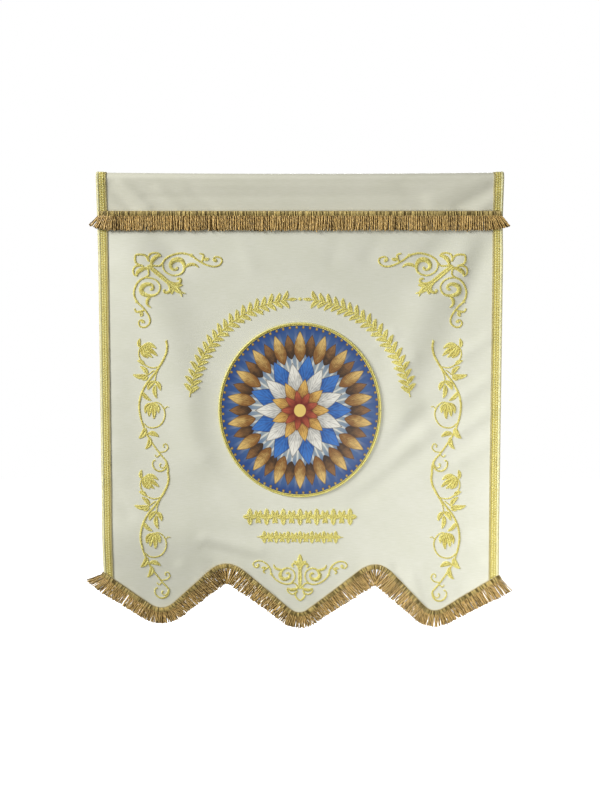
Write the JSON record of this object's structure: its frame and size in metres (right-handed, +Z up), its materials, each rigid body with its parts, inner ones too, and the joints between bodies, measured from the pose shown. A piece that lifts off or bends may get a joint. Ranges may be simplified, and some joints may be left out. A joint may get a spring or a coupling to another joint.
{
  "type": "church banner",
  "caption": "Ivory processional church banner with a pole sleeve, lobed foot, gold galloon and fringe, gold embroidery and an oval printed roundel.",
  "frame": {"origin": "middle of the sleeve's top edge, where the banner hangs", "axes": "+X to the viewer's right, +Z up, -Y towards the viewer (the decorated front faces -Y)"},
  "size_m": [1.062, 0.0508, 1.1486],
  "materials": {
    "panel_cloth": "ivory woven cloth, dull satin",
    "sleeve_cloth": "ivory woven cloth, dull satin",
    "gold_galloon": "woven metallic gold braid",
    "gold_fringe": "twisted metallic gold strands",
    "roundel_print": "printed satin",
    "gold_thread": "gold satin-stitch thread and cord"
  },
  "bodies": {
    "root": {"panel": "panel_cloth", "sleeve": "sleeve_cloth", "galloon_left": "gold_galloon", "galloon_right": "gold_galloon", "galloon_sleeve_left": "gold_galloon", "galloon_sleeve_right": "gold_galloon", "fringe_top": "gold_fringe", "fringe_foot": "gold_fringe", "roundel": "roundel_print", "roundel_cord": "gold_thread"}
  },
  "joints": []
}
